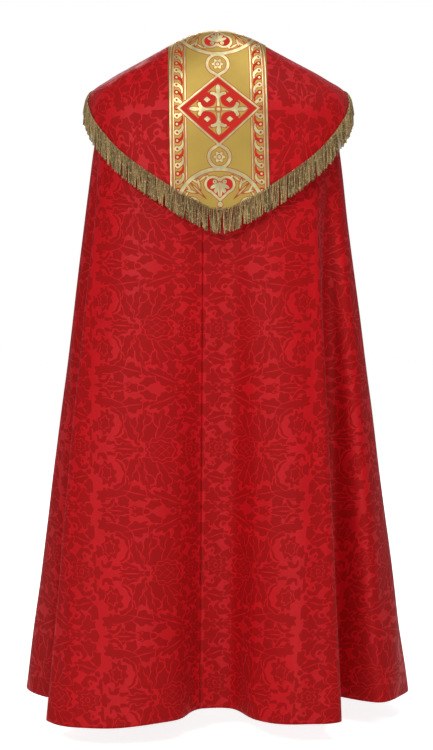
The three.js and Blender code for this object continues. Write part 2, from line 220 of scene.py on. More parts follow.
# The woven band's repeat and its main figures.
ORPHREY_REPEAT = 442.0
DIAMOND_HALF_WIDTH = 86.0
DIAMOND_WIDTH_OVER_HEIGHT = 1.13
ROUNDEL_RADIUS = 93.0
LOOP_MIDDLE = 102.5
LOOP_RADIUS = 22.5
HOOD_DIAMOND_DOWN = 218.0  # from the neck to the middle of the diamond on the hood
MORSE_FIGURES = 0.5  # the morse is woven with the same figures at half the size
BEYOND = 900.0  # a distance further than any figure

# Threads of the weaves, from one rib to the next.
WARP_RIB = 1.1
WEFT_RIB = 1.5
LINING_TWILL = 1.3
BROCADE_RIB = 1.2
TWIST = 3.4

# The hood is cut as part of a ring: the radius of its neck edge, and degrees of ring per degree of turn.
HOOD_NECK_RADIUS = 123.0
HOOD_OPENING = 0.613
HOOD_FIGURE_SHIFT = 40.0  # where its damask starts

STRANDS = 350  # in each layer of the fringe
FRINGE_LAYERS = 2
STRAND_POINTS = 9
STRAND_START = -0.09  # a strand starts inside the hood's edge, by this share of its length
STRAND_GIRTH = 7.2  # round a strand, on its cloth map
STRAND_STEP = 30.0  # from one strand to the next, on the cloth map
FRINGE_STIFF = 22.0  # the length in which a strand bends from the hood's slope to the vertical
FRINGE_LAID = (84, 112)  # between these turns the strands stop hanging free and lie on the shoulders

FLOOR_DROP = 50.0  # from the hem to the floor
FLOOR_HALF_WIDTH = 14  # in metres, as are the places below
ROOM_LIGHT = 0.15  # light from all round

# Round lamps: name, place, width and power.
LAMPS = (
    ("key", (1.6, 3.0, 1.2), 0.8, 49),
    ("fill", (-0.6, 3.5, -1.0), 1.4, 22),
    ("top", (-0.9, 1.0, 2.1), 1.2, 25),
    ("front", (0.4, -3.6, 1.4), 2.0, 54),
)
LAMPS_AIM = (0, 0, -0.6)
CAMERA_AT = (0, 3.4, -0.48)
CAMERA_DOWN = 4.35  # degrees below level
CAMERA_LENS = 72.04

RIGHT, LEFT = -1, 1


# ---- sizes and colours a user may change -------------------------------------------------------------

class CopeSizes(bpy.types.PropertyGroup):
    """Sizes of the cloth and the trimmings"""

    wall: FloatProperty(
        name="Cloth",
        description="Thickness of the damask with its lining",
        default=0.0016,
        min=0.0005,
        max=0.003,
        unit="LENGTH",
    )
    trim: FloatProperty(
        name="Woven band",
        description="Thickness of the orphreys",
        default=0.0012,
        min=0.0005,
        max=0.003,
        unit="LENGTH",
    )
    strand: FloatProperty(
        name="Fringe strand",
        description="Thickness of one strand of the fringe",
        default=0.0023,
        min=0.001,
        max=0.004,
        unit="LENGTH",
    )
    fringe: FloatProperty(
        name="Fringe length",
        description="From the hood's edge to the ends of the strands",
        default=0.051,
        min=0.02,
        max=0.06,
        unit="LENGTH",
    )
    rows: IntProperty(
        name="Rows",
        description="Rows of faces down the cloak",
        default=190,
        min=40,
        max=240,
    )


class CopeColours(bpy.types.PropertyGroup):
    """Colours of the cloths and threads"""

    ground: FloatVectorProperty(
        name="Damask ground",
        description="Satin ground of the damask",
        subtype="COLOR_GAMMA",
        default=(0.785, 0.06, 0.095),
    )
    figure: FloatVectorProperty(
        name="Damask figure",
        description="Matt figures of the damask",
        subtype="COLOR_GAMMA",
        default=(0.655, 0.012, 0.02),
    )
    gold: FloatVectorProperty(
        name="Gold ground",
        description="Satin ground of the orphreys",
        subtype="COLOR_GAMMA",
        default=(0.76, 0.63, 0.30),
    )
    metal: FloatVectorProperty(
        name="Metal thread",
        description="Pale metal thread of the orphreys",
        subtype="COLOR_GAMMA",
        default=(0.88, 0.83, 0.62),
    )
    red: FloatVectorProperty(
        name="Orphrey red",
        description="Red figures of the orphreys",
        subtype="COLOR_GAMMA",
        default=(0.80, 0.12, 0.06),
    )
    fringe: FloatVectorProperty(
        name="Fringe",
        description="Antique gold thread of the fringe",
        subtype="COLOR_GAMMA",
        default=(0.68, 0.58, 0.39),
    )


# ---- curves and surfaces -----------------------------------------------------------------------------

def spline(points, knots, at):
    """A smooth line through points (rows, count, 3), one row for each knot, read at (count,) values."""
    knots = np.asarray(knots, float)
    spans = np.diff(knots)
    slopes = np.diff(points, axis=0) / spans[:, None, None]
    before = spans[:-1, None, None]
    after = spans[1:, None, None]
    inner = (slopes[:-1] * after + slopes[1:] * before) / (before + after)
    tangents = np.concatenate([slopes[:1], inner, slopes[-1:]])
    row = np.clip(np.searchsorted(knots, at, side="right") - 1, 0, len(knots) - 2)
    column = np.arange(points.shape[1]) if points.shape[1] > 1 else np.zeros(len(at), int)
    span = spans[row][:, None]
    t = ((at - knots[row]) / spans[row])[:, None]
    t2 = t * t
    t3 = t2 * t
    return (
        (2 * t3 - 3 * t2 + 1) * points[row, column]
        + (t3 - 2 * t2 + t) * span * tangents[row, column]
        + (3 * t2 - 2 * t3) * points[row + 1, column]
        + (t3 - t2) * span * tangents[row + 1, column]
    )


HEM_STEPS = 24  # from one fold to the next


def hem_line():
    """The hem as rows of x, y and turn at close steps, and their lengths from the back seam."""
    rows = np.array([[x, y, turn] for _, turn, x, y in FOLDS], float)
    chords = np.hypot(*np.diff(rows[:, :2], axis=0).T)
    knots = np.concatenate([[0], np.cumsum(np.sqrt(chords))])
    at = np.concatenate([
        *(np.linspace(a, b, HEM_STEPS, endpoint=False) for a, b in zip(knots[:-1], knots[1:])),
        knots[-1:],
    ])
    line = spline(rows[:, None, :], knots, at)
    lengths = np.concatenate([[0], np.cumsum(np.hypot(*np.diff(line[:, :2], axis=0).T))])
    seam = HEM_STEPS * FOLD_NAMES.index("back_seam")
    return line, lengths - lengths[seam]


HEM, HEM_LENGTH = hem_line()
HEM_SHARE = np.where(HEM_LENGTH < 0, -HEM_LENGTH / HEM_LENGTH[0], HEM_LENGTH / HEM_LENGTH[-1])


def hem_at(share):
    """x, y and turn of the hem at a share: 0 at the seam, 1 at the left front edge, -1 at the right."""
    return tuple(np.interp(share, HEM_SHARE, HEM[:, k]) for k in range(3))


def ring_points(rings, turn):
    """Points of each oval at each turn, as (rings, count, 3)."""
    angle = np.radians(turn)
    sine, cosine = np.sin(angle), np.cos(angle)
    rows = []
    for _, half_width, back, front, z_back, z_side, z_front, roundness in rings:
        power = 2 / roundness
        depth = np.where(cosine > 0, back, front)
        height = np.where(cosine > 0, z_back, z_front)
        rows.append(np.stack([
            half_width * np.sign(sine) * np.abs(sine) ** power,
            depth * np.sign(cosine) * np.abs(cosine) ** power,
            z_side + (height - z_side) * cosine**2,
        ], axis=-1))
    return np.array(rows)


def cope_columns(share):
    """The points of each section of the cloak, from the neck to the hem, at shares round it."""
    x, y, turn = hem_at(share)
    smooth = ring_points(COPE_RINGS, turn)
    foot = np.stack([x, y, np.full_like(x, HEM_Z)], axis=-1)
    falls = [smooth[-1] + (foot - smooth[-1]) * spread for _, spread in FALLS]
    return np.concatenate([smooth, falls])


def mean_lengths(columns):
    """How far down the cloth each section is, as a mean all round."""
    spans = np.linalg.norm(np.diff(columns, axis=0), axis=-1).mean(axis=1)
    return np.concatenate([[0], np.cumsum(spans)])


COPE_LENGTHS = mean_lengths(cope_columns(np.linspace(-1, 1, 101)))
COPE_KNOTS = COPE_LENGTHS / COPE_LENGTHS[-1]
HOOD_LENGTHS = mean_lengths(ring_points(HOOD_RINGS, np.zeros(1)))
HOOD_KNOTS = HOOD_LENGTHS / HOOD_LENGTHS[-1]


def on_cope(share, down):
    """The cloak's outer face at a share round it and a share down it, for arrays of any one shape."""
    share, down = np.broadcast_arrays(np.asarray(share, float), np.asarray(down, float))
    return spline(cope_columns(share.ravel()), COPE_KNOTS, down.ravel()).reshape(share.shape + (3,))


def on_hood(turn, down):
    """The hood's outer face at a turn and a share down it."""
    turn, down = np.broadcast_arrays(np.asarray(turn, float), np.asarray(down, float))
    point = spline(ring_points(HOOD_RINGS, turn.ravel()), HOOD_KNOTS, down.ravel())
    point[:, 0] += HOOD_SWAY * down.ravel()
    return point.reshape(turn.shape + (3,))


def hood_reach(turn):
    """How far down the hood's surface its edge is."""
    at = np.minimum(np.abs(np.ravel(turn)), HOOD_END_TURN)
    rows = np.array([[[reach, 0, 0]] for _, reach in HOOD_EDGE], float)
    return spline(rows, [row_turn for row_turn, _ in HOOD_EDGE], at)[:, 0].reshape(np.shape(turn))


def hood_band_turn(down):
    """The turn at which the hood's orphrey ends. By the neck, which is narrower, it is cut away."""
    widest = 0.96
    widths = np.array([[[row[1], row[7], 0]] for row in HOOD_RINGS], float)
    size = spline(widths, HOOD_KNOTS, np.ravel(down))
    share = np.minimum(widest, ORPHREY_WIDTH / 2 / size[:, 0])
    return np.degrees(np.arcsin(share ** (size[:, 1] / 2))).reshape(np.shape(down))


def hood_at(column, row):
    """Turn and share down at a column and row of the hood.

    A column is -1 to 1 across its orphrey and on to 2 at its ends, and a row is 0 at the neck and 1 at
    the hood's edge.
    """
    wide = np.abs(column)
    turn = np.zeros(np.broadcast(column, row).shape)
    for _ in range(40):
        down = row * hood_reach(turn)
        inner = hood_band_turn(down)
        outer = np.sign(column) * (inner + (wide - 1) * (HOOD_END_TURN - inner))
        turn = (turn + np.where(wide <= 1, column * inner, outer)) / 2
    return turn, row * hood_reach(turn)


def face_normals(grid):
    """The way out at each point of a grid of points (rows, columns, 3)."""
    across = np.gradient(grid, axis=1)
    down = np.gradient(grid, axis=0)
    out = np.cross(across, down)
    return out / np.maximum(np.linalg.norm(out, axis=-1, keepdims=True), 1e-9)


def crease_height(round_at, down_at, creases):
    """Height of the creases at a distance round the cloth and a distance down it."""
    total = np.zeros(np.broadcast(round_at, down_at).shape)
    for _, (start_round, start_down), (end_round, end_down), half_width, height in creases:
        run = (down_at - start_down) / (end_down - start_down)
        # a slight bow keeps a crease from being a straight line
        middle = start_round + (end_round - start_round) * run + 0.35 * half_width * np.sin(2.6 * run)
        fade = np.clip(np.minimum(run, 1.15 - run) / 0.25, 0, 1)
        fade = fade * fade * (3 - 2 * fade)
        total += height * fade * np.exp(-(((round_at - middle) / half_width) ** 2))
    return total


# ---- node building -----------------------------------------------------------------------------------

class Value:
    """An output socket that can be added, multiplied and so on, each making its own math node."""

    def __init__(self, tree, socket):
        self.tree = tree
        self.socket = socket

    def __add__(self, other):
        return calculate("ADD", self, other)

    __radd__ = __add__

    def __sub__(self, other):
        return calculate("SUBTRACT", self, other)

    def __rsub__(self, other):
        return calculate("SUBTRACT", other, self)

    def __mul__(self, other):
        return calculate("MULTIPLY", self, other)

    __rmul__ = __mul__

    def __neg__(self):
        return 0.0 - self


def feed(tree, socket, value):
    """Sets a socket to a number or a tuple, or links it to a Value."""
    if isinstance(value, Value):
        tree.links.new(value.socket, socket)
    else:
        socket.default_value = value


def make_node(tree, kind, inputs, output=0, **settings):
    """Makes a node, with its settings first and its inputs then, and gives one of its outputs."""
    node = tree.nodes.new("ShaderNode" + kind)
    for name, value in settings.items():
        setattr(node, name, value)
    for socket, value in inputs.items():
        feed(tree, node.inputs[socket], value)
    return Value(tree, node.outputs[output])


def calculate(operation, *values):
    """Does one sum, where at least one of the values is a Value."""
    tree = next(value.tree for value in values if isinstance(value, Value))
    return make_node(tree, "Math", dict(enumerate(values)), operation=operation)


def maths(operation):
    """A function that makes one kind of math node."""
    return lambda *values: calculate(operation, *values)


absolute = maths("ABSOLUTE")
least = maths("MINIMUM")
most = maths("MAXIMUM")
sine = maths("SINE")
cosine = maths("COSINE")
angle = maths("ARCTAN2")
pingpong = maths("PINGPONG")


def wrap(a, low, high):
    return calculate("WRAP", a, high, low)


def without(figure, cut):
    """A figure with another cut out of it."""
    return most(figure, -cut)


def length(point):
    return make_node(point.tree, "VectorMath", {0: point}, "Value", operation="LENGTH")


def join(x, y):
    return make_node(x.tree, "CombineXYZ", {0: x, 1: y})


def split(point):
    x = make_node(point.tree, "SeparateXYZ", {0: point})
    return x, Value(point.tree, x.socket.node.outputs[1])


def place(point, at, turn=0.0, size=(1.0, 1.0)):
    """The point seen from a place that is moved, turned by degrees and scaled."""
    inputs = {
        "Vector": point,
        "Location": (at[0], at[1], 0),
        "Rotation": (0, 0, math.radians(turn)),
        "Scale": (size[0], size[1], 1),
    }
    return make_node(point.tree, "Mapping", inputs, vector_type="TEXTURE")


def stretched(point, x, y):
    """The point in units of x and y."""
    return place(point, (0, 0), 0, (x, y))


def inside(distance, soft):
    """1 inside a figure and 0 outside it, with an edge this soft."""
    inputs = {"Value": distance, "From Min": soft, "From Max": -soft}
    return make_node(distance.tree, "MapRange", inputs, "Result", interpolation_type="SMOOTHSTEP")


def blend(amount, a, b):
    """Colour a where amount is 0 and b where it is 1."""
    return make_node(amount.tree, "Mix", {"Factor": amount, 6: a, 7: b}, 2, data_type="RGBA")


def noise(point, scale, detail=2.0):
    """Noise from 0 to 1 at so many waves per unit of the point."""
    return make_node(point.tree, "TexNoise", {"Vector": point, "Scale": scale, "Detail": detail})


def bump(height, strength, distance):
    inputs = {"Height": height, "Strength": strength, "Distance": distance}
    return make_node(height.tree, "Bump", inputs)


def linear(colour, dim=1.0):
    """A display colour as the shader's linear one."""
    channels = [c / 12.92 if c <= 0.04045 else ((c + 0.055) / 1.055) ** 2.4 for c in colour]
    return (*(c * dim for c in channels), 1.0)


def new_material(name):
    """An empty material, its nodes and shader, and the place on its flat cloth in millimetres."""
    material = bpy.data.materials.new(name)
    material.use_nodes = True
    tree = material.node_tree
    shader = tree.nodes["Principled BSDF"]
    flat = stretched(make_node(tree, "UVMap", {}, uv_map="Cloth"), MM, MM)
    return material, tree, shader, flat


# ---- woven patterns ----------------------------------------------------------------------------------
# Each is worked out in millimetres of flat cloth, as distances that are below 0 inside a figure.

def band(value, half):
    """A strip of this half width about value 0."""
    return absolute(value) - half


def disc(point, at, radius):
    """A round spot."""
    return length(place(point, at)) - radius


def oval(point, at, radii, turn=0.0):
    """An ellipse, turned by degrees."""
    return (length(place(point, at, turn, radii)) - 1.0) * min(radii)


def leaf(point, at, radii, turn=0.0, lobes=7.0, cut=0.12, lean=0.0):
    """An oval whose edge is cut into lobes."""
    local = place(point, at, turn, radii)
    x, y = split(local)
    edge = cosine(angle(y, x) * lobes + lean) * cut
    return (length(local) - edge - 1.0) * min(radii)


def hook(point, at, radius, half, start, sweep, lobes=0.0, cut=0.0):
    """A curl: an arc from start through sweep degrees, thick at its start and thin at its end."""
    local = place(point, at, start, (1.0, 1.0 if sweep > 0 else -1.0))
    x, y = split(local)
    turn = wrap(angle(y, x), 0.0, 2 * PI)
    share = turn * (1 / math.radians(abs(sweep)))
    width = (1.0 - share * 0.68) * half
    if lobes:
        width = width + (cosine(turn * lobes) + 1.0) * cut
    return most(absolute(length(local) - radius) - width, (share - 1.0) * radius)


def damask_figure(point):
    """A pomegranate among cut leaves and C scrolls, woven sideways and mirrored about its own axes.

    Each shape lies over the ones before it, with a bare line round it.
    """
    x, y = split(point)
    x = wrap(absolute(x), 0.0, DAMASK_ALONG)
    y = pingpong(y, DAMASK_ACROSS / 2)
    # a slight wander keeps the edges as soft as woven ones
    x = x + sine(y * 0.3 + sine(x * 0.16) * 1.6) * 1.5
    here = join(x, y)
    figure = BEYOND
    for shape in (
        # the bud on the far axis, and the scales beside it
        leaf(here, (18, 131), (20, 13), 0, 6, 0.16, 0.3),
        leaf(here, (163, 131), (17, 11), 0, 5, 0.15),
        leaf(here, (207, 131), (36, 19), 0, 9, 0.16),
        leaf(here, (200, 131), (22, 10), 0, 7, 0.14),
        hook(here, (226, 110), 12, 6, 210, -220),
        disc(here, (142, 131), 6),
        leaf(here, (54, 131), (20, 13), 0, 6, 0.16, 0.3),
        disc(here, (84, 131), 6),
        # the long leaves that close the frame
        leaf(here, (92, 107), (38, 15), 158, 9, 0.16, 0.4),
        leaf(here, (126, 116), (17, 9), 20, 5, 0.16, 0.8),
        leaf(here, (26, 106), (19, 16), 0, 7, 0.16),
        hook(here, (48, 92), 13, 6.5, 40, 220, 5, 1.0),
        disc(here, (48, 92), 4.5),
        # the feathered leaves above the petals
        leaf(here, (168, 92), (35, 16), 168, 9, 0.17, 0.6),
        hook(here, (124, 88), 12, 6, 80, -230),
        leaf(here, (192, 107), (18, 11), 130, 5, 0.16),
        leaf(here, (232, 100), (17, 13), 30, 6, 0.17, 0.4),
        leaf(here, (33, 67), (24, 13), 16, 7, 0.17, 0.3),
        leaf(here, (74, 82), (22, 12), 110, 6, 0.17, 0.9),
        disc(here, (8, 53), 6),
        leaf(here, (6, 84), (13, 15), 0, 5, 0.15, 0.9),
        # the great C scroll with its acanthus
        hook(here, (214, 53), 42, 9, 76, 206, 7, 0.8),
        hook(here, (214, 53), 30, 4.5, 96, 160),
        leaf(here, (222, 54), (25, 19), 104, 8, 0.17, 0.2),
        leaf(here, (224, 52), (13, 9), 104, 6, 0.15, 0.9),
        hook(here, (234, 23), 9, 6, 170, 215),
        leaf(here, (247, 44), (8, 13), 0, 5, 0.16, 0.5),
        # the petals round the pomegranate, from the outer ones in
        leaf(here, (62, 27), (26, 12), 36, 6, 0.15, 0.4),
        leaf(here, (160, 40), (31, 17), 66, 7, 0.15, 0.5),
        leaf(here, (139, 50), (32, 15), 98, 7, 0.14, 0.1),
        leaf(here, (76, 45), (31, 16), 142, 7, 0.15, 1.2),
        leaf(here, (106, 52), (33, 19), 106, 7, 0.15),
        leaf(here, (128, 33), (26, 13), 112, 6, 0.13, 0.7),
        leaf(here, (88, 30), (25, 13), 130, 6, 0.13, 0.5),
        # the cut leaf and the knot on the stem
        leaf(here, (181, 12), (23, 8), 24, 6, 0.14, 0.2),
        leaf(here, (180, 0), (27, 11), 0, 9, 0.16, 0.4),
        leaf(here, (103, 0), (37, 26), 0, 12, 0.07),
        disc(here, (147, 0), 6.5),
        # the rosette with its scrolls
        leaf(here, (-1, 28), (12, 14), 0, 5, 0.16, 0.4),
        leaf(here, (3, 0), (11, 12), 0, 6, 0.15),
        leaf(here, (256, 0), (13, 14), 0, 6, 0.15),
        hook(here, (24, 33), 12.5, 6.5, -60, 225, 6, 1.2),
        disc(here, (24, 33), 3.6),
        leaf(here, (32, 0), (25, 22), 0, 9, 0.14),
        leaf(here, (32, 0), (14, 12), 0, 7, 0.16),
        disc(here, (32, 0), 4.5),
    ):
        figure = least(most(figure, DAMASK_LINE - shape), shape)
    lattice = least(band(pingpong(x + y * 1.3, 9.5), 0.8), band(pingpong(x - y * 1.3, 9.5), 0.8))
    seeds = most(oval(here, (104, 0), (23, 13.5)), lattice)
    for vein in (
        oval(here, (181, 0), (17, 1.3)),
        oval(here, (139, 54), (18, 1.0), 98),
        oval(here, (106, 56), (20, 1.0), 106),
        oval(here, (76, 47), (18, 1.0), 142),
        oval(here, (161, 42), (18, 1.0), 66),
        oval(here, (207, 131), (14, 1.2)),
        oval(here, (168, 92), (24, 1.0), 168),
        oval(here, (92, 107), (26, 1.1), 158),
        oval(here, (33, 67), (16, 1.0), 16),
        band(leaf(here, (103, 0), (30, 19.5), 0, 8, 0.1), 0.8),
        seeds,
    ):
        figure = without(figure, vein)
    return figure


def orphrey_figures(point):
    """The woven band: the figures in metal thread and those in red.

    point runs across the band from its middle in x, and along it from the middle of a diamond in y.
    """
    across, along = split(point)
    x = absolute(across)
    y = pingpong(along, ORPHREY_REPEAT / 2)
    here = join(x, y)

    # rails, with drops in a row between them, red and metal by turns
    metal = least(band(x - 103.6, 1.6), least(band(x - 96.6, 1.3), band(x - 70.5, 1.5)))
    red = BEYOND
    for shift, is_red in ((0.0, True), (17.5, False)):
        drop_at = join(x, wrap(y + shift, -22.5, 12.5))
        head = disc(drop_at, (89.2, 0), 5.9)
        tail = hook(drop_at, (91.5, -14.0), 14.4, 4.4, 97, 104)
        drop = least(head, tail)
        dot = disc(drop_at, (89.2, 0), 2.5)
        if is_red:
            red = least(red, without(drop, dot))
            metal = least(metal, dot)
        else:
            metal = least(metal, without(drop, dot))
            red = least(red, dot)

    # the diamond and the roundel lie over the rails
    squared = join(x, y * DIAMOND_WIDTH_OVER_HEIGHT)
    sx, sy = split(squared)
    diamond = (sx + sy - DIAMOND_HALF_WIDTH) * SQRT_HALF
    round_at = place(here, (0, ORPHREY_REPEAT / 2))
    roundel = length(round_at) - ROUNDEL_RADIUS
    bare = least(diamond - 4.2, most(roundel - 5.5, x - 94.0))
    metal = without(metal, bare)
    red = without(red, bare)
    metal = least(metal, band(diamond, 2.1))

    # a red field with a gold cross in it, cut out by four discs with a lozenge in each
    inner = (sx + sy - 66.0) * SQRT_HALF
    beside = disc(squared, (24.0, 24.0), 19.0)
    cross = without(inner, beside)
    red = least(red, without(diamond + 3.6, cross))
    metal = least(metal, (absolute(sx - 24.0) + absolute(sy - 24.0) - 7.2) * SQRT_HALF)

    # a metal lily on each arm of the cross, and a boss at its middle
    arm = most(sx, sy)
    side = least(sx, sy)
    limb = join(arm, side)
    for shape in (
        most(side - 2.4 - absolute(arm - 20.0) * 0.05, most(8.0 - arm, arm - 40.0)),
        oval(limb, (51.0, 0), (11.0, 5.2)),
        oval(limb, (38.0, 7.0), (9.5, 3.8), 58),
        disc(limb, (40.0, 14.0), 3.0),
        oval(limb, (35.0, 0), (9.5, 5.4)),
        length(squared) - 4.2,
    ):
        metal = least(metal, shape)
    red = least(red, band(length(squared) - 8.0, 0.9))

    # a loop like a drop, that hangs from the diamond and holds a rosette
    loop_at = place(here, (0, LOOP_MIDDLE))
    lx, ly = split(loop_at)
    rise = LOOP_MIDDLE - DIAMOND_HALF_WIDTH / DIAMOND_WIDTH_OVER_HEIGHT
    slope = math.asin(LOOP_RADIUS / rise)
    cone = lx * math.cos(slope) - (ly + rise) * math.sin(slope)
    cone = most(cone, lx * math.sin(slope) + ly * math.cos(slope))
    loop = least(length(loop_at) - LOOP_RADIUS, cone)
    metal = least(metal, most(band(loop, 3.1), 1.8 - diamond))
    petals = length(loop_at) - cosine(angle(ly, lx) * 6.0) * 2.4 - 10.4
    heart_of_rose = length(loop_at) - 4.0
    metal = least(metal, most(petals, 1.8 - heart_of_rose))
    metal = least(metal, heart_of_rose)

    # the roundel: four hearts that point to its middle, each with a palmette
    metal = least(metal, band(roundel, 3.9))
    rx, ry = split(round_at)
    rx = absolute(rx)
    ry = absolute(ry)
    heart_at = join(most(rx, ry), least(rx, ry))
    out, off = split(heart_at)
    lobe = disc(heart_at, (60.0, 14.5), 18.5)
    flank = most(off * 0.679 - (out - 23.5) * 0.734, (out - 60.0) * 0.679 + (off - 14.5) * 0.734)
    heart = least(lobe, flank)
    metal = least(metal, band(heart + 2.6, 2.6))
    red = least(red, heart + 5.2)
    metal = least(metal, disc(heart_at, (17.5, 0.0), 5.5))
    palmette = oval(heart_at, (43.5, 0.0), (12.0, 4.6))
    for shape in (
        oval(heart_at, (48.5, 7.5), (10.0, 4.0), 148),
        oval(heart_at, (56.5, 11.5), (9.5, 3.8), 118),
        oval(heart_at, (57.0, 2.0), (8.5, 4.8)),
        disc(heart_at, (66.0, 10.5), 4.4),
    ):
        palmette = least(palmette, shape)
    for vein in (
        oval(heart_at, (45.0, 0.0), (10.0, 0.7)),
        disc(heart_at, (66.5, 11.0), 1.3),
    ):
        palmette = without(palmette, vein)
    metal = least(metal, most(palmette, heart + 6.8))
    metal = least(metal, band(length(round_at) - 7.5, 1.6))
    # a spray of leaves between each two hearts
    for spray in (
        oval(heart_at, (47.0, 47.0), (13.0, 1.5), 45),
        oval(heart_at, (61.0, 44.5), (10.5, 2.3), 12),
        oval(heart_at, (65.5, 51.0), (7.5, 2.3), 62),
        oval(heart_at, (73.0, 36.0), (8.5, 2.1), 128),
        disc(heart_at, (77.0, 26.0), 2.6),
    ):
        metal = least(metal, spray)
    return metal, red


# ---- materials ---------------------------------------------------------------------------------------

def damask_material(name, colours, upright=False, bloom=0.12):
    """Silk damask: shiny ground, matt figures. upright turns its flowers up; bloom is its soft sheen."""
    material, tree, shader, flat = new_material(name)
    x, y = split(flat)
    point = join(y + HOOD_FIGURE_SHIFT, x) if upright else join(x, y + CLOAK_FIGURE_SHIFT)
    distance = damask_figure(point)
    mix = inside(distance, 0.9)
    # line is a painted highlight: a bright rim just outside each figure's edge, standing in for the
    # light on its relief
    line = inside(absolute(distance - 0.6) - 0.5, 0.6)
    cloud = noise(flat, 0.012, 3)
    ground = blend(cloud, linear(colours.ground, 0.86), linear(colours.ground, 1.12))
    figure = blend(cloud, linear(colours.figure, 0.9), linear(colours.figure, 1.12))
    cloth = blend(mix, ground, figure)
    feed(tree, shader.inputs["Base Color"], blend(line * 0.3, cloth, linear(colours.ground, 1.5)))
    feed(tree, shader.inputs["Roughness"], mix * 0.2 + 0.43)
    shader.inputs["Sheen Weight"].default_value = bloom
    shader.inputs["Sheen Roughness"].default_value = 0.4
    shader.inputs["Sheen Tint"].default_value = (1.0, 0.3, 0.34, 1.0)
    shader.inputs["Specular IOR Level"].default_value = 0.17
    # fine ribs of warp and weft, with a slight slub
    warp = sine(x * (2 * PI / WARP_RIB))
    weft = sine((y + x * 0.25) * (2 * PI / WEFT_RIB))
    slub = noise(stretched(flat, 40.0, 3.0), 1.0, 1)
    feed(tree, shader.inputs["Normal"], bump(warp * 0.3 + weft * 0.4 + slub, 0.35, 0.00025))
    return material


def lining_material(colours):
    """Plain red lining, in a fine twill."""
    material, tree, shader, flat = new_material("lining")
    x, y = split(flat)
    cloud = noise(flat, 0.02, 3)
    cloth = blend(cloud, linear(colours.figure, 0.85), linear(colours.figure, 1.2))
    feed(tree, shader.inputs["Base Color"], cloth)
    shader.inputs["Roughness"].default_value = 0.6
    shader.inputs["Specular IOR Level"].default_value = 0.2
    shader.inputs["Sheen Weight"].default_value = 0.1
    shader.inputs["Sheen Tint"].default_value = (1.0, 0.5, 0.5, 1.0)
    twill = sine((x + y) * (2 * PI / LINING_TWILL))
    feed(tree, shader.inputs["Normal"], bump(twill, 0.3, 0.0001))
    return material


def brocade_material(name, colours, size=1.0):
    """Woven band: gold satin ground, red silk and pale metal thread. size scales its figures."""
    material, tree, shader, flat = new_material(name)
    metal, red = orphrey_figures(stretched(flat, size, size))
    soft = 0.45 / size
    in_metal = inside(metal, soft)
    in_line = inside(metal - 1.5 / size, soft)
    in_red = inside(red, soft)
    x, y = split(flat)
    cloud = noise(flat, 0.02, 3)
    thread = noise(stretched(flat, 2.2, 0.45), 1.0, 1)
    gold = blend(cloud, linear(colours.gold, 0.86), linear(colours.gold, 1.12))
    # painted highlights: bright patches on the metal thread, as glints of light on it
    painted_glint = inside(0.52 - noise(flat, 0.035, 2), 0.16)
    pale = blend(thread, linear(colours.metal, 0.6), linear(colours.metal, 1.0))
    pale = blend(painted_glint * 0.6, pale, linear(colours.metal, 1.45))
    colour = blend(in_red, gold, linear(colours.red))
    colour = blend(in_line * 0.82, colour, linear(colours.red, 0.8))
    feed(tree, shader.inputs["Base Color"], blend(in_metal, colour, pale))
    for socket, on_gold, on_red, on_metal in (
        ("Metallic", 0.35, 0.0, 0.55),
        ("Roughness", 0.42, 0.6, 0.34),
    ):
        woven = in_red * (on_red - on_gold) + on_gold
        feed(tree, shader.inputs[socket], woven * (1.0 - in_metal) + in_metal * on_metal)
    shader.inputs["Specular IOR Level"].default_value = 0.25
    # a close diagonal rib, and the metal thread laid in little wrapped ridges
    rib = sine((x + y) * (2 * PI / BROCADE_RIB))
    feed(tree, shader.inputs["Normal"], bump(rib * 0.4 + thread, 0.4, 0.0002))
    return material


def fringe_material(colours):
    """Twisted metal thread, with a painted highlight on each turn and painted shade between the turns,
    whole strands darkened at random as painted shade among the strands, and painted glints.
    """
    material, tree, shader, flat = new_material("bullion thread")
    x, y = split(flat)
    # painted light and shade: each turn of the twist is painted bright and the hollow between turns
    # dark; the same twist makes the bump
    twist = sine((y + x * 0.9) * (2 * PI / TWIST))
    # strands darkens whole strands at random, as painted shade among the strands
    strands = inside(noise(stretched(flat, 20.0, 160.0), 1.0, 1) - 0.5, 0.12)
    # painted highlights: glints of light on the metal thread
    painted_glints = inside(0.6 - noise(stretched(flat, 6.0, 5.0), 1.0, 1), 0.08)
    dark = blend(strands, linear(colours.fringe, 0.7), linear(colours.fringe, 0.16))
    bright = blend(strands, linear(colours.fringe, 1.7), linear(colours.fringe, 0.5))
    thread = blend(twist * 0.5 + 0.5, dark, bright)
    feed(tree, shader.inputs["Base Color"], blend(painted_glints * 0.6, thread, linear(colours.fringe, 2.4)))
    shader.inputs["Metallic"].default_value = 0.4
    shader.inputs["Roughness"].default_value = 0.4
    feed(tree, shader.inputs["Normal"], bump(twist, 0.6, 0.0005))
    return material


def floor_material():
    """Pale paper."""
    material = bpy.data.materials.new("pale floor")
    material.use_nodes = True
    tree = material.node_tree
    shader = tree.nodes["Principled BSDF"]
    cloud = noise(make_node(tree, "TexCoord", {}, "Object"), 0.6, 2)
    feed(tree, shader.inputs["Base Color"], blend(cloud, (0.94, 0.94, 0.94, 1), (0.97, 0.97, 0.97, 1)))
    shader.inputs["Roughness"].default_value = 0.8
    shader.inputs["Emission Color"].default_value = (1, 1, 1, 1)
    seen = make_node(tree, "LightPath", {}, "Is Camera Ray")
    feed(tree, shader.inputs["Emission Strength"], seen * 0.7 + 0.15)
    return material


# ---- making pieces -----------------------------------------------------------------------------------

def link(mesh, name):
    """A new object for the mesh, in the scene."""
    piece = bpy.data.objects.new(name, mesh)
    bpy.context.scene.collection.objects.link(piece)
    return piece


